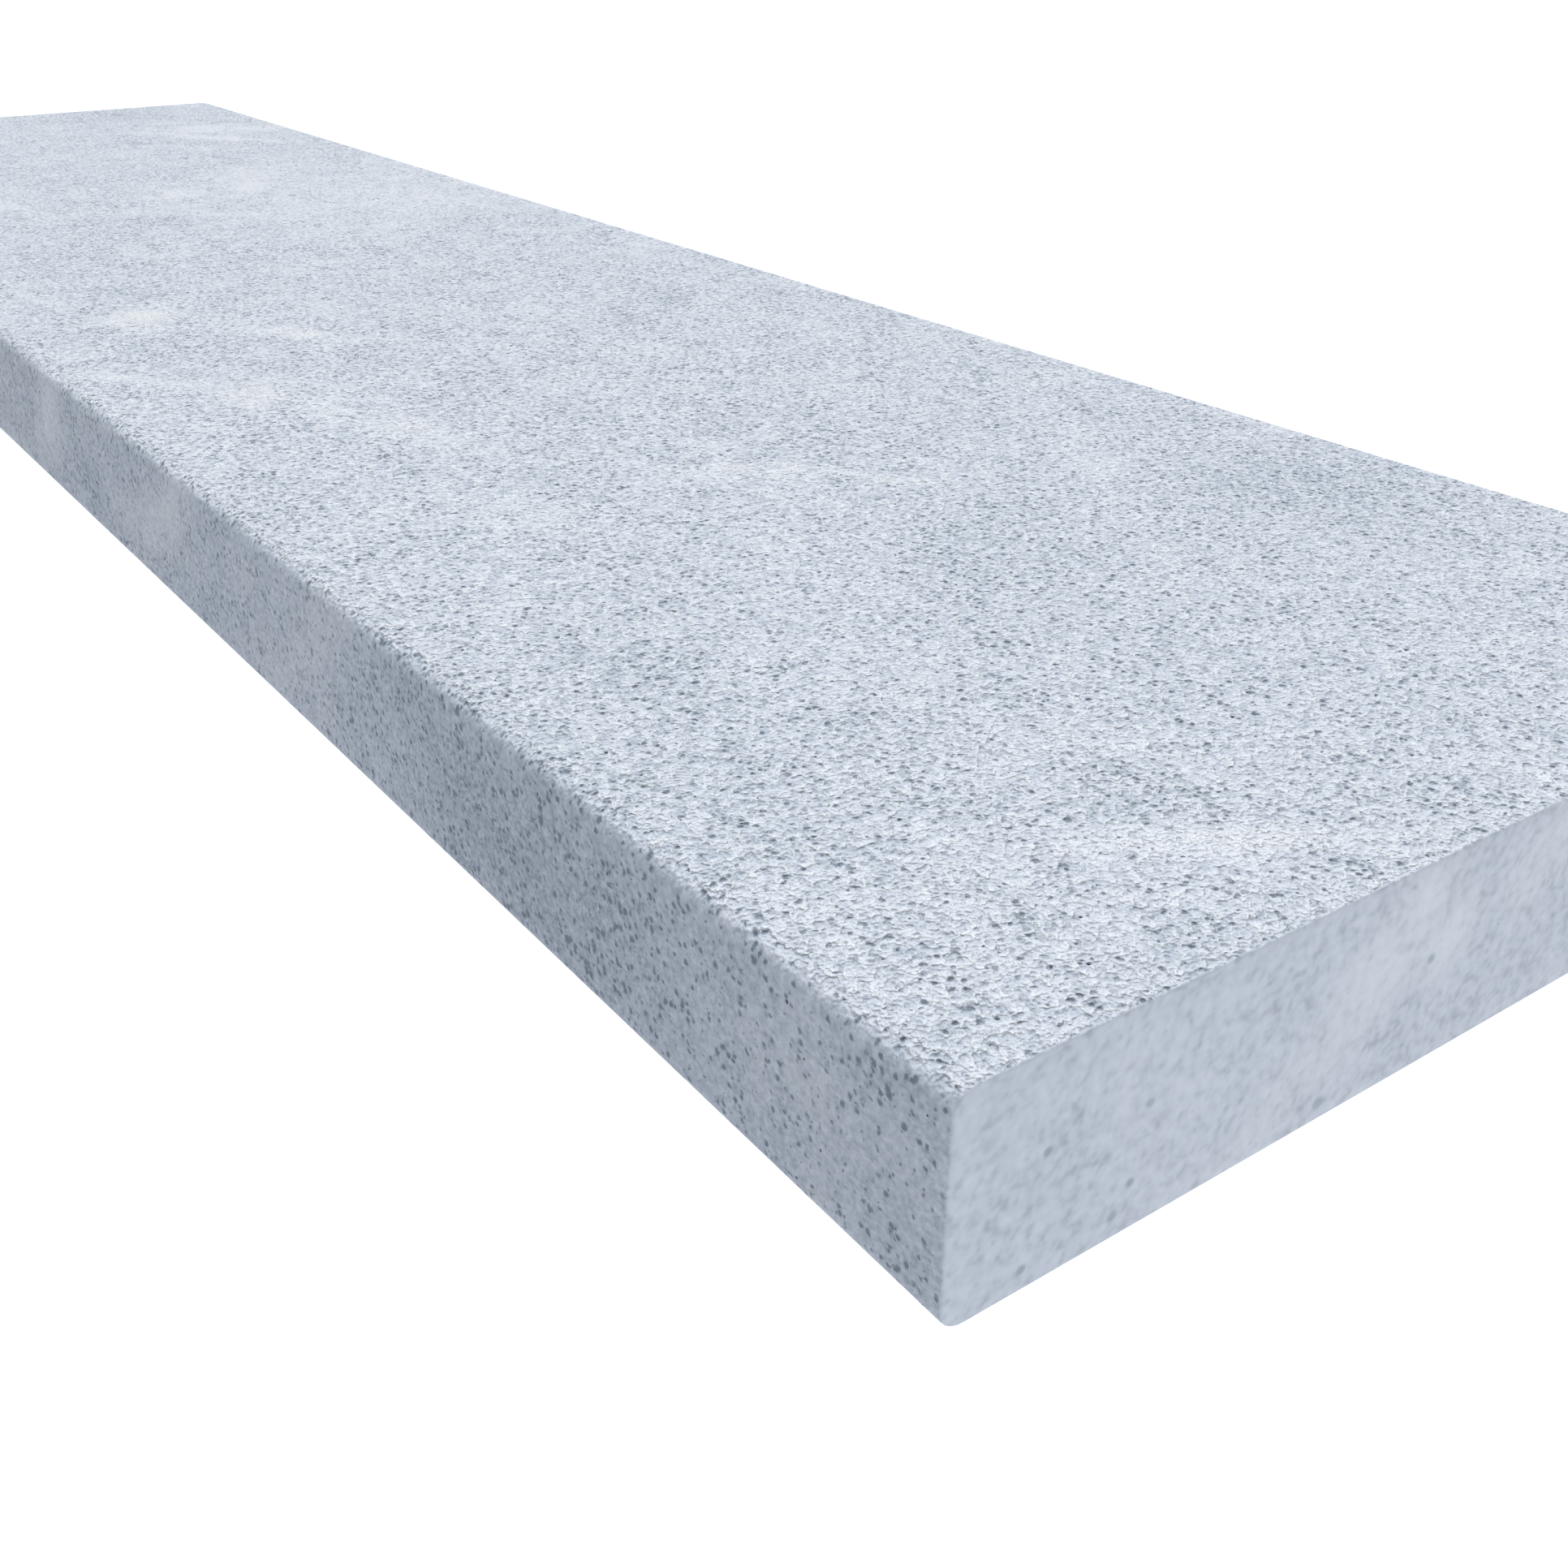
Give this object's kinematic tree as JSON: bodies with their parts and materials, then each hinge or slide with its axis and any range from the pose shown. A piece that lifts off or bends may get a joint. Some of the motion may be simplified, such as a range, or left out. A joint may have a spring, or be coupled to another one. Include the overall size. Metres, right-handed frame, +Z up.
{
  "type": "marble coping slab",
  "caption": "Long flat blue-grey marble coping slab with a rounded front nosing, a blasted top and front, smooth sawn ends and eased sawn edges.",
  "frame": {"origin": "centre of the flat underside, on the surface that the slab lies on", "axes": "+X along the slab's length, -Y towards the rounded nosing, +Z up out of the walked-on face"},
  "size_m": [1, 0.25, 0.04],
  "materials": {
    "marble": "matte blasted top and nosing, smooth sawn ends, back and underside"
  },
  "bodies": {
    "root": {"coping_slab": "marble"}
  },
  "joints": []
}
